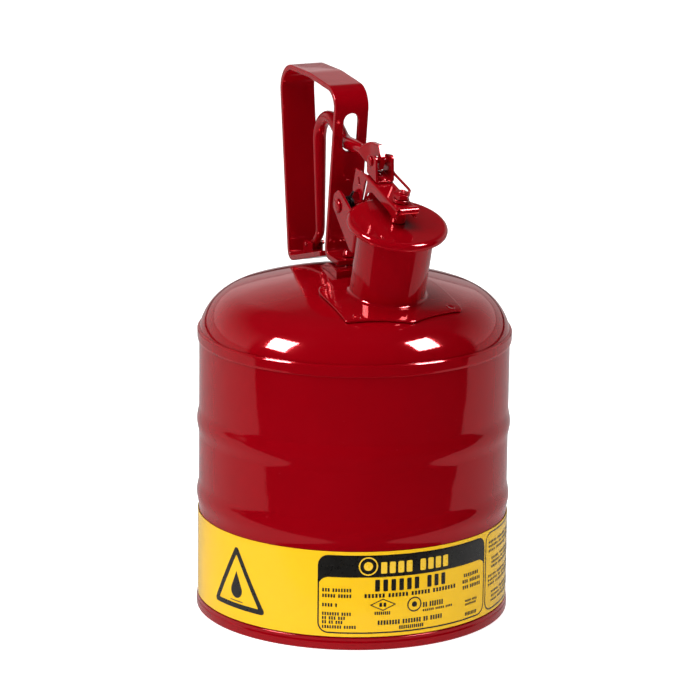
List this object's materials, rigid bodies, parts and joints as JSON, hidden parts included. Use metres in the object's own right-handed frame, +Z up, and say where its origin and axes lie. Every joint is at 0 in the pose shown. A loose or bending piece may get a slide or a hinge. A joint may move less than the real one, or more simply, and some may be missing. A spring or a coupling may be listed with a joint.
{
  "type": "safety gas can",
  "caption": "Round steel safety can for fuel with a domed top, a strap handle, a squeeze trigger and a spring-closed lid on a leaning spout.",
  "frame": {"origin": "centre of the foot ring, on the surface the can stands on", "axes": "+Z up along the can's axis, -Y towards the spout, +Y towards the handle, +X to the left of someone pouring forward"},
  "size_m": [0.183, 0.183, 0.31],
  "materials": {
    "red_enamel": "high-gloss baked enamel",
    "yellow_film": "satin printed film",
    "black_steel": "oiled black spring steel",
    "plain_steel": "plain drawn steel",
    "black_rubber": "matt rubber"
  },
  "bodies": {
    "can": {"bottom_pan": "red_enamel", "body_shell": "red_enamel", "top_dome": "red_enamel", "label_band": "yellow_film", "neck_plate": "red_enamel", "spout_neck": "red_enamel", "arrester_ring": "plain_steel", "flame_arrester_screen": "plain_steel", "arrester_cap": "plain_steel", "hinge_bracket": "red_enamel", "hinge_pin": "red_enamel", "hinge_spring": "black_steel", "handle_base_plate": "red_enamel", "handle_strap": "red_enamel", "handle_screw": "red_enamel", "trigger_post": "red_enamel", "trigger_pivot_pin": "plain_steel"},
    "lid": {"lid_cap": "red_enamel", "lid_gasket": "black_rubber", "gasket_retainer": "plain_steel", "lid_nut": "plain_steel", "lid_bush": "red_enamel", "lid_boss": "red_enamel", "lid_bolt": "red_enamel", "lid_yoke": "red_enamel", "yoke_clevis": "red_enamel", "clevis_rivet_front": "red_enamel", "clevis_rivet_rear": "red_enamel", "link_pin": "red_enamel", "clip_wire": "red_enamel"},
    "trigger": {"trigger_rod": "red_enamel"}
  },
  "joints": [
    {"name": "lid_open", "type": "hinge", "parent": "can", "child": "lid", "pos_m": [0, -0.005, 0.241], "axis": [-1, 0, 0], "range_deg": [0, 30], "stiffness_Nm_per_rad": 0.8, "springref_deg": -45.84},
    {"name": "trigger_squeeze", "type": "hinge", "parent": "can", "child": "trigger", "pos_m": [0, 0.0575, 0.2048], "axis": [-1, 0, 0], "range_deg": [0, 8.5]}
  ],
  "couplings": [
    {"joint": "trigger_squeeze", "follows": "lid_open", "ratio": 0.28}
  ]
}
